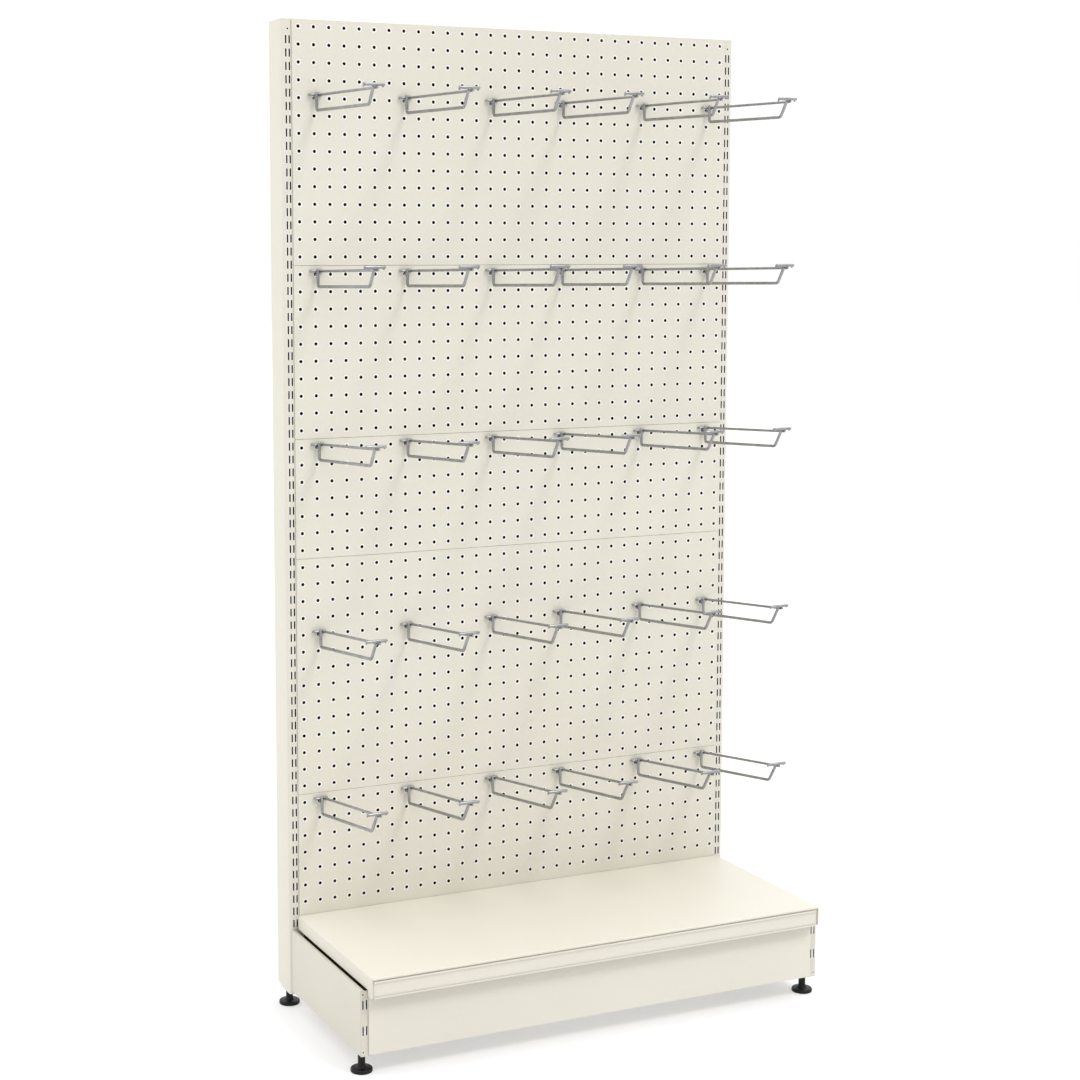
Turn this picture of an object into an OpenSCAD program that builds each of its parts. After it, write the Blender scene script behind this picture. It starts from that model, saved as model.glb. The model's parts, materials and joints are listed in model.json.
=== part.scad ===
// Single-sided shop shelving bay with perforated steel back panels, a base shelf and flip-top display hooks.
// Millimetres, +Z up, goods side towards -Y. The origin is on the floor under the centre of the whole bay.

/* [Uprights] */
// Distance between the centre lines of the two uprights
bay_w = 994; // [794:10:1194]
// Width of an upright, seen from the front
upright_w = 26; // [26:1:34]
// Depth of an upright, front to back
upright_d = 72; // [60:1:90]
// Wall of the upright's tube
upright_wall = 2; // [1.5:0.1:2.5]
// Radius of the upright's two front corners
upright_front_r = 6; // [4:0.5:7]
// Height of the uprights' lower end above the floor
upright_foot_z = 33; // [31:1:36]

/* [Bracket slots] */
// Vertical distance from slot to slot
slot_pitch = 25.4; // [24:0.1:32]
// Height of a slot
slot_len = 16.5; // [14:0.5:18]
// Width of a slot
slot_w = 3; // [2.6:0.1:3.2]
// Distance between the two columns of slots
slot_columns = 7.2; // [7:0.1:7.6]

/* [Back panels] */
// Sideways distance from peg hole to peg hole
hole_dx = 31.75; // [25.4:0.05:38.1]
// Vertical distance from peg hole to peg hole
hole_dz = 34; // [33:0.25:36]
// Diameter of a peg hole
hole_d = 7; // [6.4:0.1:8]
// Thickness of the panels' sheet steel
sheet_t = 1; // [0.8:0.1:1.2]
// How far the panels' face stands in front of the uprights
panel_proud = 3; // [2.5:0.1:4]

/* [Base] */
// Reach of the base shelf in front of the panels' face
shelf_reach = 388; // [360:1:480]
// Height of the base shelf's top
shelf_top_z = 195.5; // [190:0.5:210]
// Height of the base legs' top ledge
leg_top_z = 165; // [160:1:168]
// Height of the price rail's front, lower edge to shelf top
price_rail_h = 40; // [32:1:44]
// Height of the kick plate's lower edge above the floor
kick_bottom_z = 41; // [40:1:50]

/* [Levelling feet] */
// Diameter of a foot's disc
foot_d = 42; // [36:1:46]
// Diameter of a foot's threaded stem
foot_stem_d = 12; // [10:1:14]

/* [Hooks] */
// Distance from the panel to the ticket bar at the front of a hook
hook_reach = 298; // [200:1:300]
// Diameter of the hook's main wire
hook_wire_d = 6; // [5:0.1:6.4]
// Diameter of the flip-up arm's wire
arm_wire_d = 5.2; // [4:0.1:5.4]
// Drop from the crossbar to the prong
hook_drop = 30; // [26:1:32]
// Upward slope of the prongs and arms in the top row, degrees
hook_rise_top = -1.5; // [-2:0.5:3]
// Upward slope of the prongs and arms in the bottom row, degrees; the rows between are graded
hook_rise_bottom = 7.5; // [3:0.5:9]
// Slope of the prong's turned-up tip, degrees
tip_slope = 56; // [45:1:70]
// Width of the ticket bar
ticket_bar_w = 44; // [36:1:60]

/* [Hidden] */
ARM_NODES = [for (r = [1:5], c = [1:6]) str("ticket_arm_", r, "_", c)];

CREAM = "#ebe6d6";
ZINC = "#8f9295";
BLACK = "#1a1a1b";
HARDBOARD = "#5a4030";
FINE = 48;   // fragments of a large round
SMALL = 32;  // fragments of a wire or a small hole

// Depths are first measured from the panels' face (0), rearward positive, then moved by face_y.
upright_face = panel_proud;
upright_rear = upright_face + upright_d;
face_y = (shelf_reach - upright_rear) / 2;
upright_rear_r = 3;                // radius of an upright's two rear corners
inner_corner_r = 1;                // least radius inside the tube
cap_t = 2;                         // plate of an upright's end cap
chamfer_run = 30;                  // cut corner at the rear foot of an upright
chamfer_rise = 8;
screw_hole_r = 1.8;
top_screw_drop = 19;               // from the top of the bay to the small hole
first_slot_drop = 31;              // from the top of the bay to the first slot

// Lattice of peg holes and the seams between the panels
PANEL_ROWS = [14, 10, 7, 14, 11];  // rows of holes in each panel, top to bottom
top_margin = 14;                   // top row of holes to the top of the bay
panel_foot_z = 70;                 // lower edge of the lowest panel
panel_gap = 0.6;                   // open seam between two panels
panel_hem_d = 2;                   // depth of the panel's folded sides
panel_side_d = 15;                 // depth of the side flanges, just inside the uprights
panel_edge_d = 12;                 // depth of the top and bottom flanges
all_rows = sum_to(len(PANEL_ROWS));
bay_h = panel_foot_z + (all_rows - 0.5) * hole_dz + top_margin;
panel_w = bay_w - 15;
hole_margin = 10;                  // least distance from a hole's centre to the panel's side
half_cols = floor((panel_w / 2 - hole_margin) / hole_dx);
hole_cols = 2 * half_cols + 1;

function sum_to(n) = n == 0 ? 0 : PANEL_ROWS[n - 1] + sum_to(n - 1);
function row_z(row) = bay_h - top_margin - row * hole_dz;
function col_x(col) = (col - half_cols) * hole_dx;
function seam_z(panel) = panel == 0 ? bay_h : row_z(sum_to(panel) - 0.5);

// Slots count down from the first one below the small hole at the top
first_slot_z = bay_h - first_slot_drop - slot_len / 2;
slot_count = floor((first_slot_z - slot_len - upright_foot_z) / slot_pitch) + 1;
function slot_z(k) = first_slot_z - k * slot_pitch;
function slot_near(z) = round((first_slot_z - z) / slot_pitch);
outer_slots_x = bay_w / 2 + slot_columns / 2;
inner_slots_x = bay_w / 2 - slot_columns / 2;

// Backing board behind the panels' flanges, held there by the cross rails between the uprights
inner_x = (bay_w - upright_w) / 2;
board_t = 3;
board_side_gap = 0.5;
rail_y = panel_side_d + board_t;
rail_d = 30;
rail_h = 50;
rail_t = 2;
RAIL_Z = [bay_h - 60, 225];
rail_bolt_r = 4;
rail_bolt_gap = 24;
bolt_clearance = 0.1;

// Base legs: C-section channels with a slotted post face
leg_w = 26;
leg_t = 1.5;
leg_outer_x = bay_w / 2 + 8.7;
leg_inner_x = leg_outer_x - leg_w;
leg_foot_z = kick_bottom_z - 2;
leg_front = -shelf_reach + 25.6;
leg_ledge = 9.5;
leg_lip_h = 12;                  // lip that hangs from the ledge's inner edge
leg_rest_z = leg_top_z + 3;      // top of the inner wall, which carries the shelf
post_slot_len = 19;
post_slot_gap = 50;
post_slot_drop = 27;             // from the leg's top to the upper slot's middle
post_hole_top = 7;               // small holes, from the leg's top and from its foot
post_hole_foot = 8;
tab_w = 2.4;                     // hooked tabs in the uprights' slots
tab_h = 12;
tab_reach = 9;
LEG_TABS_Z = [75, 130];          // the tabs take the slots nearest these heights

// Base shelf
shelf_t = 1.2;
shelf_side_t = 1;
shelf_tab_drop = 16;             // the shelf's tabs take the slots nearest this far below its top
shelf_side_x = inner_slots_x - 0.4;
shelf_rear = -1;
nosing = 4;                      // rounded front edge of the shelf, front to back
nosing_h = 4.5;
lip_y = -shelf_reach + nosing;
lip_foot_z = shelf_top_z - price_rail_h;
kick_w = bay_w - 13;
kick_face = leg_front - 3;

// Levelling feet
foot_neck_z = 30;
foot_stem_r = foot_stem_d / 2;
foot_stem_top_z = 85;
nut_clearance = 0.05;
FRONT_FOOT = [leg_outer_x - leg_w / 2, -334];
REAR_FOOT = [bay_w / 2, 43];

// Hooks: five rows of six, each on one peg hole
HOOK_ROWS = [4, 14, 24, 35, 45];
HOOKS_ACROSS = 6;
hook_edge_cols = 1;
function hook_col(i) = ceil(hook_edge_cols + i * (hole_cols - 1 - 2 * hook_edge_cols) / (HOOKS_ACROSS - 1));

wire_r = hook_wire_d / 2;
arm_r = arm_wire_d / 2;
bar_r = 2.5;                     // crossbar
bar_y = 5.4;                     // crossbar's axis in front of the panel
bar_z = 7;                       // crossbar's axis above the peg hole
bar_left = 8;                    // straight part of the crossbar, to the left of the peg and to the right
bar_right = 11;
bar_bend_r = 3;
bar_stand_off = 0.05;            // between the crossbar's ends and the panel
leg_x = 1.6;                     // the leg stands a little to the right of the peg
leg_sink = 0.5;                  // the leg is welded this far into the crossbar
leg_y = bar_y + bar_r + wire_r - leg_sink;
root_bend_r = 6;
tip_bend_r = 12;
peg_r = 2.5;
peg_seat = 0.95;                 // the peg rests this far below its hole's middle
peg_back = 6;                    // straight peg behind the panel's face
peg_bend_r = 4;
peg_rise = 6;
ticket_r = 3;
return_r = 2;
return_len = 4.5;
rest_gap = 0.3;                  // between the ticket bar and the prong's tip
ticket_sink = 0.4;               // the ticket bar is welded this far into the arm's wire
eye_x = 7.9;
eye_w = 5.6;
eye_r = 4.6;
eye_clearance = 0.05;
joint_lap = 0.4;                 // straight runs reach this far into a bend
joint_swell = 0.05;              // a bend's wire is this much thicker in radius

function dir(a) = [cos(a), sin(a)];
function left_of(a) = [-sin(a), cos(a)];
function cross2(a, b) = a[0] * b[1] - a[1] * b[0];
// Upward slope of a row. The functions after it take that slope as a, and solve the prong's two straight runs so
// that its tip ends under the ticket bar.
function rise(n) = hook_rise_top + (hook_rise_bottom - hook_rise_top) * n / (len(HOOK_ROWS) - 1);
function ticket_v(a) = (hook_reach - bar_y) * tan(a) + ticket_r + arm_r - ticket_sink;
function root_end(a) = [leg_y + root_bend_r, root_bend_r - hook_drop] - root_bend_r * left_of(a);
function tip_end(a) = [hook_reach, ticket_v(a)] - (ticket_r + wire_r + rest_gap) * dir(tip_slope);
function prong_gap(a) = tip_end(a) - root_end(a) - tip_bend_r * (left_of(a) - left_of(tip_slope));
function prong_run(a) = cross2(prong_gap(a), dir(tip_slope)) / cross2(dir(a), dir(tip_slope));
function tip_run(a) = cross2(dir(a), prong_gap(a)) / cross2(dir(a), dir(tip_slope));

// ---- shared shapes ----

module from_face() {
    translate([0, face_y, 0]) children();
}

function about(middle, size) = [middle - size / 2, middle + size / 2];

module box(x, y, z) {
    translate([x[0], y[0], z[0]]) cube([x[1] - x[0], y[1] - y[0], z[1] - z[0]]);
}

module both_sides() {
    children();
    mirror([1, 0, 0]) children();
}

// Obround slot standing along Y in a plane that faces -Y
module front_slot(x, z, length, y) {
    run = length - slot_w;
    translate([x, y[0], z]) rotate([-90, 0, 0]) linear_extrude(y[1] - y[0]) union() {
        square([slot_w, run], center = true);
        for (s = [-1, 1]) translate([0, s * run / 2]) circle(d = slot_w, $fn = SMALL);
    }
}

module hole_y(x, z, r, y) {
    translate([x, y[0], z]) rotate([-90, 0, 0]) cylinder(r = r, h = y[1] - y[0], $fn = SMALL);
}

// ---- uprights ----

// Rectangle with two large front corners and two small rear corners, front edge on the X axis
module upright_outline(inset = 0) {
    w = upright_w - 2 * inset;
    d = upright_d - 2 * inset;
    rf = upright_front_r - inset;
    rr = max(upright_rear_r - inset, inner_corner_r);
    translate([-w / 2, inset]) union() {
        translate([rf, 0]) square([w - 2 * rf, d / 2]);
        translate([0, rf]) square([w, d - rf - rr]);
        translate([rr, d / 2]) square([w - 2 * rr, d / 2]);
        for (x = [rf, w - rf]) translate([x, rf]) circle(r = rf, $fn = FINE);
        for (x = [rr, w - rr]) translate([x, d - rr]) circle(r = rr, $fn = FINE);
    }
}

module upright() {
    x = bay_w / 2;
    front = [upright_face - 1, upright_face + upright_wall + 1];
    color(CREAM) from_face() difference() {
        translate([x, upright_face, upright_foot_z]) linear_extrude(bay_h - cap_t - upright_foot_z)
            difference() {
                upright_outline();
                upright_outline(upright_wall);
            }
        for (k = [0:slot_count - 1], sx = [outer_slots_x, inner_slots_x])
            front_slot(sx, slot_z(k), slot_len, front);
        hole_y(x, bay_h - top_screw_drop, screw_hole_r, front);
        for (z = RAIL_Z, s = [-1, 1])
            translate([inner_x - 1, rail_y + rail_d / 2, z + s * rail_bolt_gap / 2])
                rotate([0, 90, 0])
                    cylinder(r = rail_bolt_r + bolt_clearance, h = upright_wall + 2, $fn = SMALL);
        translate([x - upright_w, upright_rear, upright_foot_z]) rotate([90, 0, 90])
            linear_extrude(2 * upright_w)
                polygon([[-chamfer_run, 0], [1, -1], [1, chamfer_rise], [0, chamfer_rise]]);
    }
}

module upright_left() {
    mirror([1, 0, 0]) upright();
}

module upright_right() {
    upright();
}

module upright_caps() {
    plug_h = 8;
    plug_clearance = 0.2;
    color(CREAM) both_sides() from_face() translate([bay_w / 2, upright_face, bay_h - cap_t]) {
        linear_extrude(cap_t) upright_outline();
        translate([0, 0, -plug_h]) linear_extrude(plug_h) upright_outline(upright_wall + plug_clearance);
    }
}

// ---- back panels ----

module back_panel(i) {
    top = seam_z(i) - (i == 0 ? 0 : panel_gap / 2);
    foot = seam_z(i + 1) + panel_gap / 2;
    first_row = sum_to(i);
    half = panel_w / 2;
    color(CREAM) from_face() union() {
        translate([0, sheet_t, 0]) rotate([90, 0, 0]) linear_extrude(sheet_t) difference() {
            translate([-half, foot]) square([panel_w, top - foot]);
            for (r = [0:PANEL_ROWS[i] - 1], c = [0:hole_cols - 1])
                translate([col_x(c), row_z(first_row + r)]) circle(d = hole_d, $fn = SMALL);
        }
        both_sides() {
            box([half - sheet_t, half], [0, panel_hem_d], [foot, top]);
            box([inner_x - sheet_t, inner_x], [0, panel_side_d], [foot, top]);
        }
        for (z = [foot, top - sheet_t]) box([-inner_x, inner_x], [0, panel_edge_d], [z, z + sheet_t]);
    }
}

// ---- backing board and cross rails ----

// Plain sheet that closes the bay behind the peg holes
module backing_board() {
    half = inner_x - board_side_gap;
    color(HARDBOARD) from_face()
        box([-half, half], [panel_side_d, panel_side_d + board_t], [panel_foot_z, bay_h]);
}

module cross_rail(z) {
    color(CREAM) from_face() difference() {
        box([-inner_x, inner_x], [rail_y, rail_y + rail_d], [z - rail_h / 2, z + rail_h / 2]);
        box([-inner_x + rail_t, inner_x - rail_t], [rail_y + rail_t, rail_y + rail_d + 1],
            [z - rail_h / 2 + rail_t, z + rail_h / 2 - rail_t]);
        for (s = [-1, 1])
            translate([-inner_x - 1, rail_y + rail_d / 2, z + s * rail_bolt_gap / 2])
                rotate([0, 90, 0]) cylinder(r = rail_bolt_r + bolt_clearance, h = 2 * inner_x + 2, $fn = SMALL);
    }
}

module rail_bolts() {
    head_h = 5.3;
    head_across_corners = 15;
    reach = 12;
    color(ZINC) both_sides() from_face()
        for (z = RAIL_Z, s = [-1, 1])
            translate([inner_x - rail_t, rail_y + rail_d / 2, z + s * rail_bolt_gap / 2]) rotate([0, 90, 0]) {
                translate([0, 0, -head_h]) cylinder(d = head_across_corners, h = head_h, $fn = 6);
                cylinder(r = rail_bolt_r, h = reach, $fn = SMALL);
            }
}

// ---- base ----

// One leg: outer wall, top ledge with its lip, floor, inner wall, post face, rear plate and two hook tabs
module base_leg() {
    outer = [leg_outer_x - leg_t, leg_outer_x];
    length = [leg_front, upright_face];
    post = [leg_front - 1, leg_front + leg_t + 1];
    color(CREAM) from_face() difference() {
        union() {
            box(outer, length, [leg_foot_z, leg_top_z]);
            box([leg_outer_x - leg_ledge, leg_outer_x], length, [leg_top_z - leg_t, leg_top_z]);
            box([leg_outer_x - leg_ledge, leg_outer_x - leg_ledge + leg_t], length,
                [leg_top_z - leg_lip_h, leg_top_z]);
            box([leg_inner_x, leg_outer_x], length, [leg_foot_z, leg_foot_z + leg_t]);
            box([leg_inner_x, leg_inner_x + leg_t], length, [leg_foot_z, leg_rest_z]);
            box([leg_inner_x, leg_outer_x], [leg_front, leg_front + leg_t], [leg_foot_z, leg_top_z]);
            box([leg_inner_x, leg_outer_x], [upright_face - leg_t, upright_face], [leg_foot_z, leg_top_z]);
            for (z = LEG_TABS_Z)
                box(about(outer_slots_x, tab_w), [upright_face - leg_t, upright_face + tab_reach],
                    about(slot_z(slot_near(z)), tab_h));
        }
        // room for the lowest panel, which runs down behind the leg
        box([leg_inner_x - 1, panel_w / 2 + 1], [shelf_rear, upright_face + 1],
            [leg_foot_z - 1, leg_rest_z + 1]);
        for (sx = [outer_slots_x, inner_slots_x], s = [0, 1])
            front_slot(sx, leg_top_z - post_slot_drop - s * post_slot_gap, post_slot_len, post);
        for (z = [leg_top_z - post_hole_top, leg_foot_z + post_hole_foot])
            hole_y(outer_slots_x, z, screw_hole_r, post);
        translate([FRONT_FOOT[0], FRONT_FOOT[1], leg_foot_z - 1])
            cylinder(r = foot_stem_r + 1, h = leg_t + 2, $fn = FINE);
    }
}

module base_leg_left() {
    mirror([1, 0, 0]) base_leg();
}

module base_leg_right() {
    base_leg();
}

// Side flange of the shelf: shallow over the leg, deep in front of it with a rounded lower corner
module shelf_side() {
    deep = 20;
    corner_r = 6;
    tab_z = slot_z(slot_near(shelf_top_z - shelf_tab_drop));
    rotate([90, 0, 90]) linear_extrude(shelf_side_t) union() {
        translate([-shelf_reach, leg_rest_z]) square([shelf_reach + upright_face, shelf_top_z - leg_rest_z]);
        translate([-shelf_reach + corner_r, lip_foot_z])
            square([deep - 2 * corner_r, shelf_top_z - lip_foot_z]);
        translate([-shelf_reach, lip_foot_z + corner_r]) square([deep, shelf_top_z - lip_foot_z - corner_r]);
        for (u = [corner_r, deep - corner_r])
            translate([-shelf_reach + u, lip_foot_z + corner_r]) circle(r = corner_r, $fn = FINE);
        translate([0, tab_z - tab_h / 2]) square([upright_face + tab_reach, tab_h]);
    }
}

module base_shelf() {
    hem_w = 14;
    hem_rear_gap = 4;
    rear_flange_h = 18;
    x = shelf_side_x;
    color(CREAM) from_face() union() {
        box([-x, x], [-shelf_reach, shelf_rear], [shelf_top_z - shelf_t, shelf_top_z]);
        box([-x, x], [-shelf_reach, lip_y], [shelf_top_z - nosing_h, shelf_top_z]);
        box([-x, x], [lip_y, lip_y + shelf_t], [lip_foot_z + 1, shelf_top_z]);
        box([-leg_inner_x, leg_inner_x], [shelf_rear - shelf_t, shelf_rear],
            [shelf_top_z - rear_flange_h, shelf_top_z]);
        both_sides() {
            translate([x - shelf_side_t, 0, 0]) shelf_side();
            box([x - hem_w, x], [leg_front, shelf_rear - hem_rear_gap], [leg_rest_z, leg_rest_z + shelf_t]);
        }
    }
}

// Hat-section stiffeners under the shelf, open side up against the shelf's underside
module shelf_ribs() {
    rib_h = 18;
    rib_w = 44;
    brim = 12;
    top = shelf_top_z - shelf_t;
    run = [lip_y + shelf_t, shelf_rear - shelf_t];
    color(CREAM) from_face() for (x = [-1, 1] * bay_w / 6) {
        box([x - rib_w / 2, x + rib_w / 2], run, [top - rib_h, top - rib_h + shelf_t]);
        for (s = [-1, 1]) {
            wall = x + s * (rib_w / 2 - shelf_t / 2);
            box([wall - shelf_t / 2, wall + shelf_t / 2], run, [top - rib_h, top]);
            rim = x + s * (rib_w / 2 + brim / 2 - shelf_t);
            box([rim - brim / 2, rim + brim / 2], run, [top - shelf_t, top]);
        }
    }
}

// Ticket channel in front of the shelf's lip, its two edges turned over the ticket
module price_rail() {
    half = shelf_side_x - 5;
    foot = lip_foot_z;
    top = shelf_top_z - 7;
    edge_h = 3.2;
    back_t = 1.2;
    wall = 1;
    front = lip_y - 3.4;
    color(CREAM) from_face() union() {
        box([-half, half], [lip_y - back_t, lip_y], [foot, top]);
        for (z = [foot, top - wall]) box([-half, half], [front, lip_y], [z, z + wall]);
        for (z = [foot, top - edge_h]) box([-half, half], [front, front + wall], [z, z + edge_h]);
    }
}

module kick_plate() {
    half = kick_w / 2;
    top = leg_top_z - 2;
    hem_d = 2;
    flange_d = 14;
    color(CREAM) from_face() union() {
        box([-half, half], [kick_face, kick_face + sheet_t], [kick_bottom_z, top]);
        both_sides() box([half - sheet_t, half], [kick_face, kick_face + hem_d], [kick_bottom_z, top]);
        for (z = [kick_bottom_z, top - sheet_t])
            box([-leg_inner_x, leg_inner_x], [kick_face, kick_face + flange_d], [z, z + sheet_t]);
    }
}

// ---- levelling feet ----

module foot_at(place, side) {
    edge_r = 3;
    disc_h = 8;
    neck_r = 7;
    r = foot_d / 2;
    color(BLACK) from_face() translate([side * place[0], place[1], 0]) union() {
        cylinder(r = r - 1, h = 1, $fn = FINE);
        translate([0, 0, 1]) cylinder(r = r, h = disc_h - 1 - edge_r, $fn = FINE);
        translate([0, 0, disc_h - edge_r]) rotate_extrude($fn = FINE) union() {
            square([r - edge_r, edge_r]);
            intersection() {
                translate([r - edge_r, 0]) circle(r = edge_r, $fn = FINE);
                square([r, edge_r]);
            }
        }
        translate([0, 0, disc_h]) cylinder(r1 = neck_r + 5, r2 = neck_r, h = 5, $fn = FINE);
        translate([0, 0, disc_h]) cylinder(r = neck_r, h = foot_neck_z - disc_h, $fn = FINE);
        translate([0, 0, foot_neck_z]) cylinder(r = foot_stem_r, h = foot_stem_top_z - foot_neck_z, $fn = FINE);
    }
}

module nut_block(place, z) {
    size = [upright_w - 2 * upright_wall, 36, 8];
    translate([place[0], place[1], z]) difference() {
        translate([-size[0] / 2, -size[1] / 2, 0]) cube(size);
        translate([0, 0, -1]) cylinder(r = foot_stem_r + nut_clearance, h = size[2] + 2, $fn = FINE);
    }
}

module foot_nuts() {
    color(ZINC) both_sides() from_face() {
        nut_block(FRONT_FOOT, leg_foot_z + leg_t);
        nut_block(REAR_FOOT, upright_foot_z + 6);
    }
}

// ---- hooks ----

// Turns a drawing whose X is forward from the panel and whose Y is up into the hook's own plane
module hook_plane() {
    rotate([90, 0, -90]) children();
}

module rod(r, h) {
    cylinder(r = r, h = h, $fn = SMALL);
}

// Arc of wire around the origin, from one angle through a sweep
module wire_arc(bend_r, r, from, sweep) {
    rotate([0, 0, from]) rotate_extrude(angle = sweep, $fn = FINE)
        translate([bend_r, 0]) circle(r = r, $fn = SMALL);
}

// Straight wire in the hook's plane, from a point, along an angle, lapping a little into the bend at each end
module wire_run(point, angle, r, length) {
    start = point - joint_lap * dir(angle);
    translate([start[0], start[1], 0]) rotate([0, 90, angle]) rod(r, length + 2 * joint_lap);
}

// Crossbar with its ends turned back to stand on the panel
module crossbar() {
    turn = bar_y - bar_bend_r - bar_stand_off;
    translate([-bar_left, 0, 0]) rotate([0, 90, 0]) rod(bar_r, bar_left + bar_right);
    translate([bar_right, bar_bend_r, 0]) wire_arc(bar_bend_r, bar_r, -90, 90);
    translate([-bar_left, bar_bend_r, 0]) wire_arc(bar_bend_r, bar_r, 180, 90);
    for (x = [-bar_left - bar_bend_r, bar_right + bar_bend_r])
        translate([x, bar_bend_r, 0]) rotate([-90, 0, 0]) rod(bar_r, turn);
}

// Leg, prong and turned-up tip, in the hook's plane with the crossbar's height as zero
module prong(a) {
    bend_wire_r = wire_r + joint_swell;
    leg_end = [leg_y, root_bend_r - hook_drop];
    prong_end = root_end(a) + prong_run(a) * dir(a);
    wire_run([leg_y, bar_r], -90, wire_r, hook_drop - root_bend_r + bar_r);
    translate([leg_end[0] + root_bend_r, leg_end[1], 0]) wire_arc(root_bend_r, bend_wire_r, 180, 90 + a);
    wire_run(root_end(a), a, wire_r, prong_run(a));
    translate(concat(prong_end + tip_bend_r * left_of(a), 0))
        wire_arc(tip_bend_r, bend_wire_r, a - 90, tip_slope - a);
    wire_run(tip_end(a) - tip_run(a) * dir(tip_slope), tip_slope, wire_r, tip_run(a));
    translate(concat(tip_end(a), 0)) sphere(r = bend_wire_r, $fn = SMALL);
}

// Peg through the hole, turned up behind the panel
module peg() {
    translate([-leg_y, 0, 0]) rotate([0, 90, 0]) rod(peg_r, leg_y + peg_back);
    translate([peg_back, peg_bend_r, 0]) wire_arc(peg_bend_r, peg_r, -90, 90);
    translate([peg_back + peg_bend_r, peg_bend_r, 0]) rotate([-90, 0, 0]) rod(peg_r, peg_rise);
}

module hook(a) {
    translate([0, -bar_y, bar_z - peg_seat]) crossbar();
    translate([leg_x, 0, bar_z - peg_seat]) hook_plane() prong(a);
    translate([0, 0, -peg_seat]) rotate([90, 0, 90]) peg();
}

module hook_row(n) {
    color(ZINC) from_face() for (i = [0:HOOKS_ACROSS - 1])
        translate([col_x(hook_col(i)), 0, row_z(HOOK_ROWS[n])]) union() hook(rise(n));
}

// Flip-up arm: eye round the crossbar, wire, and the ticket bar with its ends turned back
module ticket_arm(n, i) {
    half = ticket_bar_w / 2 - ticket_r;
    wire_start = (bar_r + eye_r) / 2;
    wire_end = (hook_reach - bar_y) / cos(rise(n));
    color(ZINC) from_face()
        translate([col_x(hook_col(i)), -bar_y, row_z(HOOK_ROWS[n]) + bar_z - peg_seat]) union() {
            translate([eye_x - eye_w / 2, 0, 0]) rotate([0, 90, 0]) difference() {
                cylinder(r = eye_r, h = eye_w, $fn = FINE);
                translate([0, 0, -1]) cylinder(r = bar_r + eye_clearance, h = eye_w + 2, $fn = FINE);
            }
            translate([eye_x, 0, 0]) rotate([90 - rise(n), 0, 0]) translate([0, 0, wire_start])
                rod(arm_r, wire_end - wire_start);
            translate([leg_x, bar_y - hook_reach, ticket_v(rise(n))]) {
                translate([-half, 0, 0]) rotate([0, 90, 0]) rod(ticket_r, 2 * half);
                for (s = [-1, 1]) translate([s * half, 0, 0]) {
                    sphere(r = ticket_r, $fn = SMALL);
                    rotate([-135, 0, 0]) rod(return_r, return_len);
                    rotate([-135, 0, 0]) translate([0, 0, return_len]) sphere(r = return_r, $fn = SMALL);
                }
            }
        }
}

upright_left();
upright_right();
upright_caps();
for (i = [0:len(PANEL_ROWS) - 1])
    back_panel(i);
backing_board();
cross_rail(RAIL_Z[0]);  // cross_rail_top
cross_rail(RAIL_Z[1]);  // cross_rail_bottom
rail_bolts();
base_leg_left();
base_leg_right();
base_shelf();
shelf_ribs();
price_rail();
kick_plate();
foot_nuts();
foot_at(FRONT_FOOT, -1);  // foot_front_left
foot_at(FRONT_FOOT, 1);  // foot_front_right
foot_at(REAR_FOOT, -1);  // foot_rear_left
foot_at(REAR_FOOT, 1);  // foot_rear_right
for (n = [0:len(HOOK_ROWS) - 1])
    hook_row(n);
for (n = [0:len(HOOK_ROWS) - 1], i = [0:HOOKS_ACROSS - 1])
    ticket_arm(n, i);
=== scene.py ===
import json
import math

import bmesh
import bpy
from mathutils import Euler, Matrix, Vector

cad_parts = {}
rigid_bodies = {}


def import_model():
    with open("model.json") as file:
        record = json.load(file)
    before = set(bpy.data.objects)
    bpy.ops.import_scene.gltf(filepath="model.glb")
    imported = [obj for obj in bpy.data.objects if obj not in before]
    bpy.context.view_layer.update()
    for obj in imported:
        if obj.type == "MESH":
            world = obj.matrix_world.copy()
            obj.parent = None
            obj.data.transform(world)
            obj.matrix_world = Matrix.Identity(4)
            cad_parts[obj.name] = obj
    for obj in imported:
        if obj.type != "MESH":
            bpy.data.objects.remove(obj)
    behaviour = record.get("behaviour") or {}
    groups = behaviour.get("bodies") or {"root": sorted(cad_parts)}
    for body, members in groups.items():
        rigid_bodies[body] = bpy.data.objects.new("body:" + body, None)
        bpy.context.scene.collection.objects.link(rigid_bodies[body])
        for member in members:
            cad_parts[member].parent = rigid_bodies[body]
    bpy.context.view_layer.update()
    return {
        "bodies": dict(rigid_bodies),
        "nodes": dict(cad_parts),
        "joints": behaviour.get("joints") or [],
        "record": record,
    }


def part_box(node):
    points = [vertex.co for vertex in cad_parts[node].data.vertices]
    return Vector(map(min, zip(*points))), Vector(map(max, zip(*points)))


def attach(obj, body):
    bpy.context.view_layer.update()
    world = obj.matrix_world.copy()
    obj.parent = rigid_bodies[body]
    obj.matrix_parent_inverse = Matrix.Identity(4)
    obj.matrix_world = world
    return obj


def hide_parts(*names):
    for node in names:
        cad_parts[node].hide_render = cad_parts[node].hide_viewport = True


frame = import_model()

MM = 0.001

# Peg holes
HOLE_DX = 31.75 * MM
HOLE_DZ = 34 * MM
HOLE_R = 3.5 * MM
PANEL_ROWS = (14, 10, 7, 14, 11)
HOLE_COLS = 31
TOP_MARGIN = 14 * MM
SHEET = 1 * MM

# Slots of the uprights and of the base legs' front faces
SLOT_PITCH = 25.4 * MM
SLOT_W = 3 * MM
SLOT_LEN = 16.5 * MM
SLOT_COLUMNS = 7.2 * MM
FIRST_SLOT_DROP = 39.25 * MM
SCREW_HOLE_R = 1.8 * MM
SLOT_HIGHLIGHT = 0.7 * MM        # painted highlight: a lighter ring round a slot or screw hole, for the light caught on its edge
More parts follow.
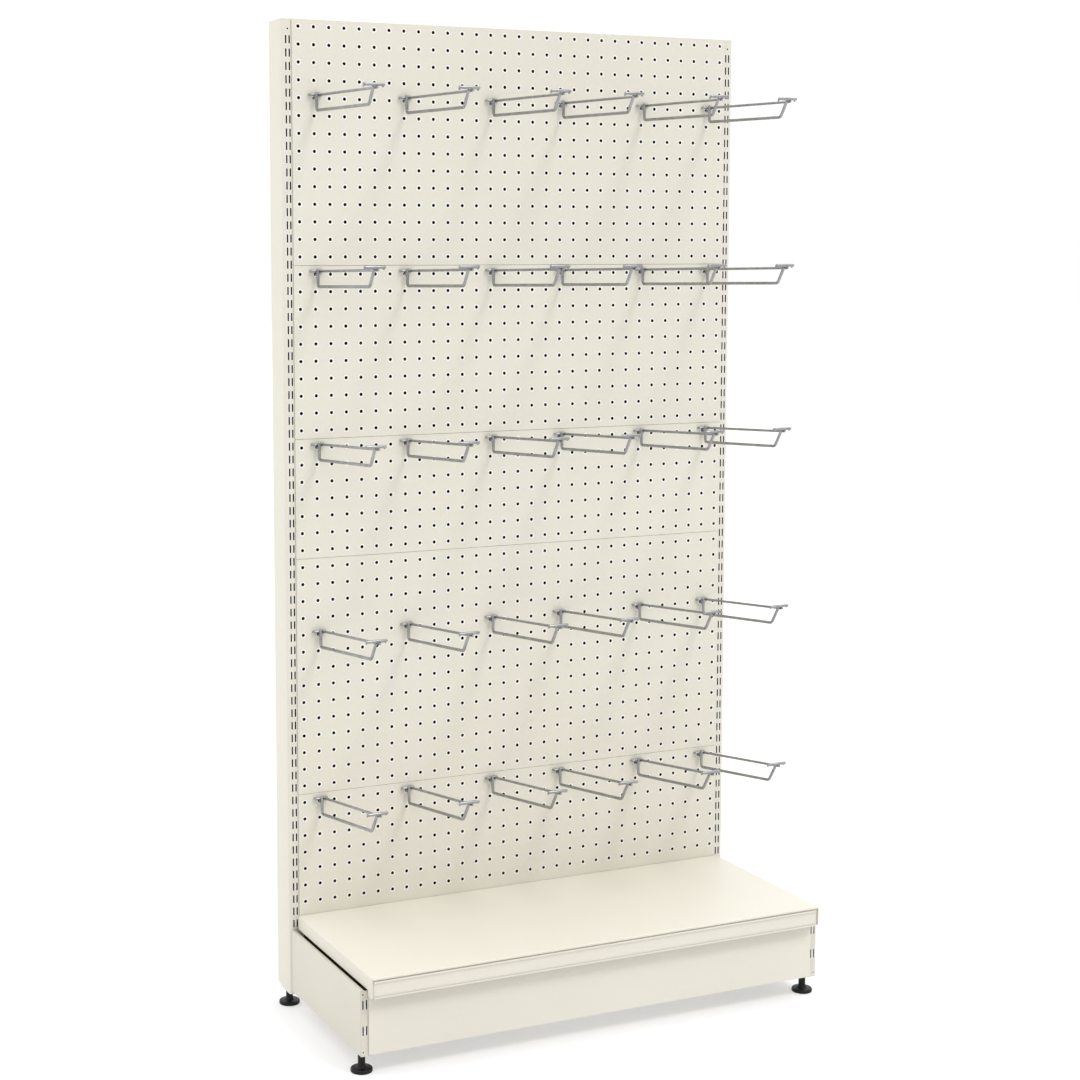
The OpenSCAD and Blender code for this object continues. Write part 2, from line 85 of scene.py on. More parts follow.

# Viewpoint: place, turn to the right of +Y, tilt, lens and shift
CAMERA_AT = (-1.8419, -3.4925, 1.5156)
CAMERA_YAW = math.radians(24.134)
CAMERA_PITCH = math.radians(-5.982)
CAMERA_ROLL = math.radians(-0.127)
CAMERA_LENS = 66.18
CAMERA_SHIFT = (0.105, -0.07)


# ---- materials ----

def node_tree(name):
    material = bpy.data.materials.new(name)
    material.use_nodes = True
    tree = material.node_tree
    return material, tree, tree.nodes["Principled BSDF"]


def add(tree, kind, **settings):
    node = tree.nodes.new(kind)
    for key, value in settings.items():
        if key in node.inputs:
            node.inputs[key].default_value = value
        else:
            setattr(node, key, value)
    return node


def noise(tree, scale, detail=3.0, roughness=0.5, stretch=(1, 1, 1)):
    """Noise in the object's own frame, so that it stays with the piece when it moves."""
    place = add(tree, "ShaderNodeTexCoord")
    mapping = add(tree, "ShaderNodeMapping")
    mapping.inputs["Scale"].default_value = stretch
    texture = add(tree, "ShaderNodeTexNoise", Scale=scale, Detail=detail, Roughness=roughness)
    tree.links.new(place.outputs["Object"], mapping.inputs["Vector"])
    tree.links.new(mapping.outputs["Vector"], texture.inputs["Vector"])
    return texture.outputs["Fac"]


def ramp(tree, fac, stops):
    node = add(tree, "ShaderNodeValToRGB")
    elements = node.color_ramp.elements
    while len(elements) < len(stops):
        elements.new(0.5)
    for element, (position, colour) in zip(elements, stops):
        element.position = position
        element.color = (*colour, 1)
    tree.links.new(fac, node.inputs["Fac"])
    return node.outputs["Color"]


def spread(tree, fac, low, high, start=0.0, end=1.0):
    node = add(tree, "ShaderNodeMapRange")
    node.inputs["From Min"].default_value = start
    node.inputs["From Max"].default_value = end
    node.inputs["To Min"].default_value = low
    node.inputs["To Max"].default_value = high
    tree.links.new(fac, node.inputs["Value"])
    return node.outputs["Result"]


def mix(tree, fac, a, b, blend="MIX"):
    node = add(tree, "ShaderNodeMix", data_type="RGBA", blend_type=blend)
    for socket, value in ((node.inputs["Factor"], fac), (node.inputs["A"], a), (node.inputs["B"], b)):
        if isinstance(value, (tuple, float, int)):
            socket.default_value = value
        else:
            tree.links.new(value, socket)
    return node.outputs["Result"]


def bump(tree, height, strength, distance, normal=None):
    node = add(tree, "ShaderNodeBump", Strength=strength, Distance=distance)
    tree.links.new(height, node.inputs["Height"])
    if normal is not None:
        tree.links.new(normal, node.inputs["Normal"])
    return node.outputs["Normal"]


def cream_paint(name, tint=(1, 1, 1)):
    """Satin powder coat: faint clouds of colour, orange-peel texture and a few duller patches."""
    material, tree, shader = node_tree(name)
    light = tuple(c * t for c, t in zip((0.704, 0.677, 0.594), tint))
    dark = tuple(c * t for c, t in zip((0.684, 0.653, 0.567), tint))
    clouds = noise(tree, 2.6, detail=2)
    base = ramp(tree, clouds, [(0.3, dark), (0.7, light)])
    specks = ramp(tree, noise(tree, 420, detail=2), [(0.30, (0.93, 0.92, 0.89)), (0.42, (1, 1, 1))])
    colour = mix(tree, 0.6, base, specks, blend="MULTIPLY")
    tree.links.new(colour, shader.inputs["Base Color"])
    tree.links.new(spread(tree, noise(tree, 9, detail=4), 0.36, 0.50), shader.inputs["Roughness"])
    peel = bump(tree, noise(tree, 620, detail=1), 0.10, 0.0004)
    tree.links.new(peel, shader.inputs["Normal"])
    shader.inputs["Specular IOR Level"].default_value = 0.45
    return material


def zinc_wire(name="zinc_wire_bright"):
    """Bright zinc over drawn wire: cool grey, blotchy passivation and fine drawing marks."""
    material, tree, shader = node_tree(name)
    blotches = noise(tree, 55, detail=4, roughness=0.6)
    colour = ramp(tree, blotches, [(0.25, (0.25, 0.253, 0.258)), (0.6, (0.345, 0.348, 0.355)),
                                   (0.85, (0.42, 0.425, 0.43))])
    tree.links.new(colour, shader.inputs["Base Color"])
    tree.links.new(spread(tree, noise(tree, 140, detail=3), 0.26, 0.44), shader.inputs["Roughness"])
    marks = bump(tree, noise(tree, 900, detail=2, stretch=(1, 0.08, 1)), 0.12, 0.0002)
    tree.links.new(marks, shader.inputs["Normal"])
    shader.inputs["Metallic"].default_value = 0.9
    return material


def plated(name="zinc_plated"):
    """Dull zinc plating on bolts and nut blocks, with a faint yellow passivation."""
    material, tree, shader = node_tree(name)
    colour = ramp(tree, noise(tree, 90, detail=5), [(0.3, (0.40, 0.39, 0.35)), (0.7, (0.56, 0.56, 0.54))])
    tree.links.new(colour, shader.inputs["Base Color"])
    tree.links.new(spread(tree, noise(tree, 200, detail=3), 0.3, 0.5), shader.inputs["Roughness"])
    tree.links.new(bump(tree, noise(tree, 700, detail=2), 0.15, 0.0002), shader.inputs["Normal"])
    shader.inputs["Metallic"].default_value = 0.9
    return material


def black_plastic(name="moulded_black"):
    """Moulded black plastic with a fine spark-eroded texture and dusty, lighter scuffs."""
    material, tree, shader = node_tree(name)
    colour = ramp(tree, noise(tree, 70, detail=5, roughness=0.65),
                  [(0.35, (0.004, 0.004, 0.005)), (0.62, (0.008, 0.008, 0.009)), (0.8, (0.020, 0.020, 0.019))])
    tree.links.new(colour, shader.inputs["Base Color"])
    tree.links.new(spread(tree, noise(tree, 160, detail=3), 0.34, 0.55), shader.inputs["Roughness"])
    tree.links.new(bump(tree, noise(tree, 1500, detail=2), 0.25, 0.0003), shader.inputs["Normal"])
    shader.inputs["Specular IOR Level"].default_value = 0.25
    return material


def hardboard(name="pressed_hardboard_painted_shade"):
    """Tempered hardboard behind the panels, made a near-black brown as painted shade seen through the peg holes and
    seams: short matted fibres and a mottled brown.
    """
    material, tree, shader = node_tree(name)
    fibres = noise(tree, 240, detail=6, roughness=0.7, stretch=(1, 1, 0.35))
    colour = ramp(tree, fibres, [(0.3, (0.050, 0.030, 0.017)), (0.7, (0.115, 0.070, 0.040))])
    mottled = mix(tree, noise(tree, 6, detail=3), colour, (0.072, 0.045, 0.026, 1))
    tree.links.new(mottled, shader.inputs["Base Color"])
    tree.links.new(bump(tree, fibres, 0.3, 0.0005), shader.inputs["Normal"])
    shader.inputs["Roughness"].default_value = 0.75
    return material


def dark_inside_steel(name="inside_painted_shade"):
    """Near-black inner faces of the folded sections: painted shade that keeps the slots and gaps dark, on steel taken
    as unpainted and oxidised inside, with streaks of oil.
    """
    material, tree, shader = node_tree(name)
    streaks = noise(tree, 60, detail=4, stretch=(1, 1, 0.1))
    tree.links.new(ramp(tree, streaks, [(0.3, (0.020, 0.020, 0.022)), (0.7, (0.045, 0.044, 0.042))]),
                   shader.inputs["Base Color"])
    tree.links.new(spread(tree, noise(tree, 130), 0.55, 0.8), shader.inputs["Roughness"])
    return material


CREAM = cream_paint("cream_powder_coat")
# the legs' paint is made darker: painted shade for the dimmer light low down by the floor
LEGS_SHADED = cream_paint("cream_powder_coat_legs_painted_shade", tint=(0.90, 0.89, 0.88))
# lighter paint for the rings round holes and slots: painted highlight of the light caught on their edges
RIM_HIGHLIGHT = cream_paint("cream_powder_coat_painted_highlight", tint=(1.30, 1.35, 1.50))
ZINC = zinc_wire()
PLATED = plated()
BLACK = black_plastic()
# dark board behind the panels: painted shade seen through the holes and seams
BOARD_SHADE = hardboard()
# near-black painted shade for the inside of the folded sections
INSIDE_SHADE = dark_inside_steel()

SLOT_MATERIALS = {"cream_paint": CREAM, "zinc_wire": ZINC, "plated_hardware": PLATED,
                  "black_plastic": BLACK, "hardboard": BOARD_SHADE}


def finish_cad_nodes():
    """Every CAD node that stays in view takes the material of its slot in the record."""
    for part in frame["record"]["subparts"]:
        node = frame["nodes"][part["node"]]
        node.data.materials.clear()
        node.data.materials.append(SLOT_MATERIALS[part["material_slot"]])


# ---- mesh helpers ----

def piece(name, bm, materials, body, node):
    """Makes a piece from a bmesh, rides it on its body and lets it stand for its CAD node."""
    mesh = bpy.data.meshes.new(name)
    bm.to_mesh(mesh)
    bm.free()
    for material in materials:
        mesh.materials.append(material)
    obj = bpy.data.objects.new(name, mesh)
    bpy.context.scene.collection.objects.link(obj)
    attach(obj, body)
    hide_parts(node)
    return obj


def smooth(obj, angle=40):
    """Smooth shading, split at edges sharper than the angle."""
    for face in obj.data.polygons:
        face.use_smooth = True
    sharp = math.radians(angle)
    bm = bmesh.new()
    bm.from_mesh(obj.data)
    for edge in bm.edges:
        edge.smooth = len(edge.link_faces) == 2 and edge.calc_face_angle(0) < sharp
    bm.to_mesh(obj.data)
    bm.free()


def thicken(obj, thickness, rim=0.00025, segments=2, inside=0, cut=0):
    """Gives a sheet its thickness, away from its outer face, and rounds its cut edges. inside and cut say how many
    material slots further on the inner face's and the cut edges' materials are."""
    solid = obj.modifiers.new("sheet", "SOLIDIFY")
    solid.thickness = thickness
    solid.offset = -1
    solid.use_even_offset = True
    solid.material_offset, solid.material_offset_rim = inside, cut
    soft = obj.modifiers.new("edges", "BEVEL")
    soft.width = rim
    soft.segments = segments
    soft.limit_method = "ANGLE"
    soft.angle_limit = math.radians(50)
    soft.harden_normals = True


class Sheet:
    """A surface built from shared corners, so that strips and plates that meet are one skin."""

    def __init__(self):
        self.bm = bmesh.new()
        self.known = {}

    def corner(self, point):
        key = tuple(round(c * 1e7) for c in point)
        if key not in self.known:
            self.known[key] = self.bm.verts.new(point)
        return self.known[key]

    def face(self, points, material=0):
        corners = list(dict.fromkeys(self.corner(p) for p in points))
        if len(corners) > 2 and self.bm.faces.get(corners) is None:
            self.bm.faces.new(corners).material_index = material

    def strip(self, path, levels, place):
        """Faces along a path of (a, b) points, drawn out through the levels.

        place turns (a, b, level) into a point.
        """
        for a, b in zip(path, path[1:]):
            for low, high in zip(levels, levels[1:]):
                self.face([place(*a, low), place(*b, low), place(*b, high), place(*a, high)])

    def finished(self, outward):
        """The bmesh, with its faces turned so that the one nearest the first vertex of outward looks along it."""
        point, direction = outward
        bmesh.ops.recalc_face_normals(self.bm, faces=self.bm.faces)
        self.bm.faces.ensure_lookup_table()
        near = min(self.bm.faces, key=lambda f: (f.calc_center_median() - Vector(point)).length)
        if near.normal.dot(Vector(direction)) < 0:
            bmesh.ops.reverse_faces(self.bm, faces=self.bm.faces)
        return self.bm


def rounded(points, radii, steps=4):
    """A polyline of 2D or 3D points with an arc at each inner corner that has a radius."""
    points = [Vector(p) for p in points]
    path = [points[0]]
    for before, corner, after, radius in zip(points, points[1:], points[2:], radii):
        u, v = (before - corner).normalized(), (after - corner).normalized()
        half = u.angle(v) / 2
        if radius == 0 or half > math.pi / 2 - 1e-3:
            path.append(corner)
            continue
        middle = corner + (u + v).normalized() * (radius / math.sin(half))
        start, end = corner + u * (radius / math.tan(half)), corner + v * (radius / math.tan(half))
        a, b = start - middle, end - middle
        turn = a.angle(b)
        for k in range(steps + 1):
            t = k / steps
            path.append(middle + (a * math.sin((1 - t) * turn) + b * math.sin(t * turn)) / math.sin(turn))
    path.append(points[-1])
    return path


def pairs(path):
    return [tuple(p) for p in path]


def cell_loop(x, z, counts):
    """Points round a rectangular cell from its lower right corner, with counts of them on each side."""
    corners = [(x[1], z[0]), (x[1], z[1]), (x[0], z[1]), (x[0], z[0])]
    loop = []
    for side, count in enumerate(counts):
        a, b = corners[side], corners[(side + 1) % 4]
        loop += [(a[0] + (b[0] - a[0]) * k / count, a[1] + (b[1] - a[1]) * k / count) for k in range(count)]
    return loop


def hole_loop(hole, counts, grow=0.0):
    """Points round a hole that face a cell's: a circle, or an upright slot if its length is more than its width."""
    x, z, width, length = hole
    r, run = width / 2 + grow, (length - width) / 2
    loop = []
    for side, count in enumerate(counts):
        for k in range(count):
            t = k / count
            if run == 0:
                turn = math.pi / 2 * (side - 0.5 + t)
                loop.append((x + r * math.cos(turn), z + r * math.sin(turn)))
            elif side % 2:
                turn = math.pi * ((side - 1) / 2 + t)
                rise = run if side == 1 else -run
                loop.append((x + r * math.cos(turn), z + rise + r * math.sin(turn)))
            else:
                way = 1 if side == 0 else -1
                loop.append((x + way * r, z + way * run * (2 * t - 1)))
    return loop


def punched(sheet, x, z, counts, place, holes=(), rim=0.0):
    """One cell of a plate, with a hole in it or plain. rim is the width of a ring in the second material, a painted
    highlight round the hole.
    """
    outer = cell_loop(x, z, counts)
    if not holes:
        sheet.face([place(*p) for p in outer])
        return
    rings = [outer]
    if rim:
        rings.append(hole_loop(holes[0], counts, rim))
    rings.append(hole_loop(holes[0], counts))
    total = len(outer)
    for level, (out, within) in enumerate(zip(rings, rings[1:])):
        for k in range(total):
            n = (k + 1) % total
            sheet.face([place(*out[k]), place(*out[n]), place(*within[n]), place(*within[k])],
                       material=1 if rim and level == 1 else 0)


# ---- perforated panels ----

HOLE_SIDE = 6          # points on a quarter of a peg hole
FOLD_R = 1.2 * MM      # bend at a panel's sides
EDGE_R = 0.45 * MM     # bend at its top and foot, along the seams
HOLE_HIGHLIGHT = 1.9 * MM        # painted highlight: a lighter ring round a punched hole, for the light caught on its rounded edge where the paint is also thinner


def folded_edges(sheet, half, foot, top, face, sides, ends, levels_x, levels_z):
    """The folded sides, top and foot of a plate whose face is at y = face."""
    side = rounded([(half - FOLD_R, 0), (half, 0), *sides], [FOLD_R, 0.6 * MM, 0.6 * MM])
    for s in (-1, 1):
        sheet.strip(pairs(side), levels_z, lambda a, b, l, s=s: (s * a, face + b, l))
    for edge, s in ((top, 1), (foot, -1)):
        # a hair under the full radius, so that the arc doesn't start on the path's first point
        end = rounded([(-EDGE_R, 0), (0, 0), (0, ends)], [EDGE_R * 0.999])
        sheet.strip(pairs(end), levels_x, lambda a, b, l, e=edge, s=s: (l, face + b, e + s * a))


def spaced(a, b, count):
    return [a + (b - a) * k / count for k in range(count)]


def levels_of(cuts, count):
    return [z for a, b in zip(cuts, cuts[1:]) for z in spaced(a, b, count)] + [cuts[-1]]


def make_panel(number, first_row, rows):
    node = f"back_panel_{number}"
    low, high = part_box(node)
    bay_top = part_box("back_panel_1")[1].z
    half, foot, top, face = high.x, low.z, high.z, low.y
    x_cuts = [-half + FOLD_R]
    x_cuts += [(k - HOLE_COLS / 2) * HOLE_DX for k in range(1, HOLE_COLS)] + [half - FOLD_R]
    row_z = [bay_top - TOP_MARGIN - (first_row + k) * HOLE_DZ for k in range(rows)]
    z_cuts = [top - EDGE_R] + [z - HOLE_DZ / 2 for z in row_z[:-1]] + [foot + EDGE_R]
    sheet = Sheet()
    counts = (HOLE_SIDE,) * 4
    for i, z in enumerate(row_z):
        for k in range(HOLE_COLS):
            hole = ((k - HOLE_COLS // 2) * HOLE_DX, z, 2 * HOLE_R, 2 * HOLE_R)
            punched(sheet, x_cuts[k:k + 2], (z_cuts[i + 1], z_cuts[i]), counts,
                    lambda x, z: (x, face, z), [hole], HOLE_HIGHLIGHT)
    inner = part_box("cross_rail_top")[1].x
    folded_edges(sheet, half, foot, top, face, sides=[(half, 2 * MM), (inner, 2 * MM), (inner, 15 * MM)],
                 ends=12 * MM, levels_x=levels_of(x_cuts, HOLE_SIDE), levels_z=levels_of(z_cuts, HOLE_SIDE))
    bm = sheet.finished(((0, face, (foot + top) / 2), (0, -1, 0)))
    panel = piece(f"perforated_panel_{number}", bm, [CREAM, RIM_HIGHLIGHT], "bay_frame", node)
    thicken(panel, SHEET)
    smooth(panel)


# ---- uprights ----

def make_upright(side):
    name = "left" if side < 0 else "right"
    low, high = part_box(f"upright_{name}")
    x, face, rear = (low.x + high.x) / 2, low.y, high.y
    foot, top = low.z, high.z
    bay_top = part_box("back_panel_1")[1].z
    first = bay_top - FIRST_SLOT_DROP
    count = int((first - SLOT_LEN - foot) / SLOT_PITCH) + 1
    half = (high.x - low.x) / 2
    front_r, rear_r = 6 * MM, 3 * MM
    flat = half - front_r
    z_cuts = [first + SLOT_PITCH / 2 - k * SLOT_PITCH for k in range(count + 1)]
    sheet = Sheet()
    side_count = 4
    counts = (side_count, side_count, side_count, side_count)
    run, rise, squeeze = 30 * MM, 8 * MM, 60 * MM

    def place(a, b, z):
        """Squeezes the lowest stretch up where the rear foot is cut off at a slant."""
        cut = max(0, (b - (rear - face - run)) / run) * rise
        if z < foot + squeeze:
            z = foot + cut + (z - foot) * (1 - cut / squeeze)
        return (x + a, face + b, z)

    for upper, lower in zip(z_cuts, z_cuts[1:]):
        for s in (-1, 1):
            hole = (s * SLOT_COLUMNS / 2, (upper + lower) / 2, SLOT_W, SLOT_LEN)
            punched(sheet, (min(0, s * flat), max(0, s * flat)), (lower, upper), counts,
                    lambda a, z: place(a, 0, z), [hole], SLOT_HIGHLIGHT)
    wide = (side_count, 2 * side_count, side_count, 2 * side_count)
    punched(sheet, (-flat, flat), (z_cuts[0], top), wide, lambda a, z: place(a, 0, z),
            [(0, bay_top - 19 * MM, 2 * SCREW_HOLE_R, 2 * SCREW_HOLE_R)], SLOT_HIGHLIGHT)
    punched(sheet, (-flat, flat), (foot, z_cuts[-1]), wide, lambda a, z: place(a, 0, z))
    depth = rear - face
    path = rounded([(flat, 0), (half, 0), (half, depth - run), (half, depth), (-half, depth), (-half, depth - run),
                    (-half, 0), (-flat, 0)], [front_r, 0, rear_r, rear_r, 0, front_r], steps=6)
    levels = levels_of([top, *z_cuts, foot], side_count)
    sheet.strip(pairs(path), levels, place)
    bm = sheet.finished(((x, face, (foot + top) / 2), (0, -1, 0)))
    upright = piece(f"slotted_upright_{name}", bm, [CREAM, RIM_HIGHLIGHT, INSIDE_SHADE], "bay_frame", f"upright_{name}")
    # inner faces and cut edges take the near-black painted shade that darkens the slots
    thicken(upright, 2 * MM, inside=2, cut=2)
    smooth(upright)


# ---- base ----

def make_leg(side):
    name = "left" if side < 0 else "right"
    node = f"base_leg_{name}"
    low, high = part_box(node)
    out, inner = max(abs(low.x), abs(high.x)), min(abs(low.x), abs(high.x))
    foot, rest, front = low.z, high.z, low.y
    top = rest - 3 * MM
    upright_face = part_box(f"upright_{name}")[0].y
    ledge, lip, fold = 9.5 * MM, 12 * MM, 1.8 * MM
    room_x, room_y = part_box("back_panel_1")[1].x + MM, upright_face - 4 * MM
    slot_x = [abs(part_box("upright_right")[0].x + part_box("upright_right")[1].x) / 2 + s * SLOT_COLUMNS / 2
              for s in (-1, 1)]
    sheet = Sheet()

    def at(a, b, y):
        return (side * a, y, b)

    section = rounded([(out - ledge, top - lip), (out - ledge, top), (out, top), (out, foot), (room_x, foot),
                       (inner, foot), (inner, rest)], [fold, fold, fold, 0, fold])
    sheet.strip(pairs(section), [front + fold, room_y], at)
    outside = rounded([(out - ledge, top - lip), (out - ledge, top), (out, top), (out, foot), (room_x, foot)],
                      [fold, fold, fold])
    sheet.strip(pairs(outside), [room_y, upright_face], at)
    # the slotted front face and its fold into the outer wall
    mid = (slot_x[0] + slot_x[1]) / 2
    half_pair = SLOT_COLUMNS
    x_cuts = [inner, mid - half_pair, mid, out - fold]
    slot_z = [top - 27 * MM, top - 77 * MM]
    hole_z = [top - 7 * MM, foot + 8 * MM]
    z_cuts = sorted([foot, foot + 13 * MM, slot_z[1] - 12 * MM, slot_z[1] + 12 * MM, slot_z[0] - 12 * MM,
                     slot_z[0] + 12 * MM, top])
    counts = (4, 4, 4, 4)
    for zs in zip(z_cuts, z_cuts[1:]):
        for xs in zip(x_cuts, x_cuts[1:]):
            holes = [(sx, sz, SLOT_W, 19 * MM) for sx in slot_x for sz in slot_z
                     if xs[0] < sx < xs[1] and zs[0] < sz < zs[1]]
            holes += [(slot_x[1], z, 2 * SCREW_HOLE_R, 2 * SCREW_HOLE_R) for z in hole_z
                      if xs[0] < slot_x[1] < xs[1] and zs[0] < z < zs[1]]
            punched(sheet, xs, zs, counts, lambda x, z: (side * x, front, z), holes, SLOT_HIGHLIGHT)
    corner = rounded([(out - fold, front), (out, front), (out, front + fold)], [fold])
    levels = levels_of(z_cuts, 4)
    sheet.strip(pairs(corner), [z for z in levels if z <= top - fold] + [top - fold],
                lambda a, b, z: (side * a, b, z))
    bm = sheet.finished(((side * out, (front + upright_face) / 2, (foot + top) / 2), (side, 0, 0)))
    leg = piece(f"folded_leg_{name}", bm, [LEGS_SHADED, RIM_HIGHLIGHT, INSIDE_SHADE], "bay_frame", node)
    # inner faces take the near-black painted shade that darkens the gaps round the legs
    thicken(leg, 1.5 * MM, inside=2)
    smooth(leg)


def make_shelf():
    low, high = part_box("base_shelf")
    half, front, top, foot = high.x, low.y, high.z, low.z
    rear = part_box("back_panel_1")[0].y - MM
    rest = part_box("base_leg_right")[1].z
    deep, corner_r, fold, nosing, nosing_h = 20 * MM, 6 * MM, 1.6 * MM, 4 * MM, 4.5 * MM
    sheet = Sheet()
    tray = half - fold
    section = rounded([(rear, top - 18 * MM), (rear, top), (front, top), (front, top - nosing_h),
                       (front + nosing, top - nosing_h), (front + nosing, foot + MM)],
                      [fold, fold, fold, 0.6 * MM])
    sheet.strip(pairs(section), [-tray, tray], lambda a, b, x: (x, a, b))
    side = rounded([(rear, top - fold), (rear, rest), (front + deep, rest), (front + deep, foot),
                    (front, foot), (front, top - fold)], [0, 2 * MM, corner_r, corner_r], steps=6)
    bend = rounded([(half - fold, top), (half, top), (half, top - fold)], [fold])
    for s in (-1, 1):
        sheet.strip(pairs(bend), [front + fold, rear - fold], lambda a, b, y, s=s: (s * a, y, b))
        outline = [(front + fold, top - fold), (rear - fold, top - fold)] + pairs(side)
        sheet.face([(s * half, y, z) for y, z in outline])
    bm = sheet.finished(((0, (front + rear) / 2, top), (0, 0, 1)))
    shelf = piece("shelf_tray", bm, [CREAM], "bay_frame", "base_shelf")
    thicken(shelf, MM)
    smooth(shelf)


def make_price_rail():
    low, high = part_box("price_rail")
    edge, fold = 3.2 * MM, 0.9 * MM
    section = rounded([(low.y, high.z - edge), (low.y, high.z), (high.y, high.z), (high.y, low.z),
                       (low.y, low.z), (low.y, low.z + edge)], [fold] * 4)
    sheet = Sheet()
    sheet.strip(pairs(section), [low.x, high.x], lambda a, b, x: (x, a, b))
    bm = sheet.finished(((0, (low.y + high.y) / 2, high.z), (0, 0, 1)))
    rail = piece("price_channel", bm, [CREAM], "bay_frame", "price_rail")
    thicken(rail, 0.9 * MM, rim=0.0002)
    smooth(rail)


def make_kick_plate():
    low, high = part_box("kick_plate")
    sheet = Sheet()
    x_cuts = [low.x + FOLD_R, high.x - FOLD_R]
    z_cuts = [low.z + EDGE_R, high.z - EDGE_R]
    punched(sheet, x_cuts, z_cuts, (1, 1, 1, 1), lambda x, z: (x, low.y, z))
    inner = abs(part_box("base_leg_right")[0].x)
    folded_edges(sheet, high.x, low.z, high.z, low.y, sides=[(high.x, 2 * MM)],
                 ends=14 * MM, levels_x=[-inner, inner], levels_z=z_cuts)
    bm = sheet.finished(((0, low.y, (low.z + high.z) / 2), (0, -1, 0)))
    plate = piece("kick_board", bm, [CREAM], "bay_frame", "kick_plate")
    thicken(plate, SHEET)
    smooth(plate)


# ---- wires ----

# Distances ahead are from the panel's face, heights from the crossbar's axis, and x from the peg's middle.
WIRE_SIDES = 16
HOOK_R = 3.0 * MM
PEG_R = 2.5 * MM
BAR_R = 2.5 * MM
ARM_R = 2.6 * MM
TICKET_R = 3.0 * MM
BAR_FORWARD = 5.4 * MM     # crossbar's axis
BAR_STAND = 2.5 * MM       # its ends, which stand on the panel
BAR_LEFT, BAR_RIGHT = -11 * MM, 14 * MM
BAR_RISE = 6.05 * MM       # crossbar's axis above the peg hole's middle
PEG_SEAT = 0.95 * MM       # peg's axis below the hole's middle
PEG_RUN = 10 * MM          # peg's way in behind the panel, and up
LEG_FORWARD = 10.4 * MM
LEG_X = 1.6 * MM
DROP = 30 * MM             # prong's axis below the crossbar's
ROOT_R, TIP_R = 6 * MM, 12 * MM
TOP_ROW_RISE, BOTTOM_ROW_RISE = math.radians(-1.5), math.radians(7.5)
TIP = math.radians(56)
REACH = 298 * MM
EYE_X = 7.9 * MM
EYE_R = 4.6 * MM
TICKET_SINK = 0.4 * MM     # ticket bar's depth in the arm's wire
REST_GAP = 0.35 * MM       # between the ticket bar and the prong's tip
TICKET_HALF = 19 * MM      # ticket bar's straight half
TICKET_BACK = 4.5 * MM     # its turned-back ends


def ring_frames(path):
    """A frame at each point of a path, carried along without twist."""
    tangents = [(b - a).normalized() for a, b in zip(path, path[1:])]
    tangents = [tangents[0]] + [(a + b).normalized() for a, b in zip(tangents, tangents[1:])] + [tangents[-1]]
    side = tangents[0].orthogonal().normalized()
    frames = []
    for point, tangent in zip(path, tangents):
        side = (side - tangent * side.dot(tangent)).normalized()
        frames.append((point, tangent, side, tangent.cross(side)))
    return frames


def wire(bm, path, r, domed=(True, True), dome_steps=4):
    """A round wire along a path. Each end is domed, or cut flat where it runs into another piece."""
    rings = []
    frames = ring_frames(path)

    def ring(centre, side, up, radius):
        return [bm.verts.new(centre + (side * math.cos(t) + up * math.sin(t)) * radius)
                for t in (2 * math.pi * k / WIRE_SIDES for k in range(WIRE_SIDES))]

    def dome(frame, way):
        point, tangent, side, up = frame
        turns = [math.pi / 2 * k / dome_steps for k in range(1, dome_steps)]
        return [ring(point + tangent * way * r * math.sin(t), side, up, r * math.cos(t)) for t in turns]

    if domed[0]:
        rings += reversed(dome(frames[0], -1))
    rings += [ring(p, s, u, r) for p, t, s, u in frames]
    if domed[1]:
        rings += dome(frames[-1], 1)
    for a, b in zip(rings, rings[1:]):
        for k in range(WIRE_SIDES):
            n = (k + 1) % WIRE_SIDES
            bm.faces.new((a[k], a[n], b[n], b[k]))
    for loop, frame, way, is_dome in ((rings[0], frames[0], -1, domed[0]), (rings[-1], frames[-1], 1, domed[1])):
        tip = bm.verts.new(frame[0] + frame[1] * way * (r if is_dome else 0))
        for k in range(WIRE_SIDES):
            bm.faces.new((loop[k], loop[(k + 1) % WIRE_SIDES], tip))


def bead(bm, centre, size):
    """A small weld bead: a slightly lumpy ball, stretched to size."""
    made = bmesh.ops.create_uvsphere(bm, u_segments=12, v_segments=8, radius=1)["verts"]
    for v in made:
        lump = 1 + 0.06 * math.sin(5 * v.co.x + 3) * math.cos(4 * v.co.z + 1)
        v.co = centre + Vector(c * s * lump for c, s in zip(v.co, size))


def turned(bm, profile, at, axis="Z", segments=32):
    """A turned piece: a closed or open profile of (radius, height) points spun round an axis through at."""
    rings = []
    for radius, height in profile:
        ring = []
        for k in range(segments):
            t = 2 * math.pi * k / segments
            a, b = radius * math.cos(t), radius * math.sin(t)
            offset = (a, b, height) if axis == "Z" else (height, a, b)
            ring.append(bm.verts.new(Vector(at) + Vector(offset)))
        rings.append(ring)
    for low, high in zip(rings, rings[1:]):
        for k in range(segments):
            n = (k + 1) % segments
            bm.faces.new((low[k], low[n], high[n], high[k]))
    return rings


def hook_places():
    """The six hooks of each row: (row, place in the row, peg hole's middle), from the ticket arms' boxes."""
    bay_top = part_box("back_panel_1")[1].z
    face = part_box("back_panel_1")[0].y
    for row in range(1, 6):
        for i in range(1, 7):
            low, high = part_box(f"ticket_arm_{row}_{i}")
            column = round(((low.x + high.x) / 2 - LEG_X) / HOLE_DX)
            axis = high.z - EYE_R if rise_of(row) < 0 else low.z + EYE_R
            step = round((bay_top - TOP_MARGIN + BAR_RISE - axis) / HOLE_DZ)
            yield row, i, Vector((column * HOLE_DX, face, bay_top - TOP_MARGIN - step * HOLE_DZ))


def rise_of(row):
    """Upward slope of a row's prongs and arms."""
    return TOP_ROW_RISE + (BOTTOM_ROW_RISE - TOP_ROW_RISE) * (row - 1) / 4


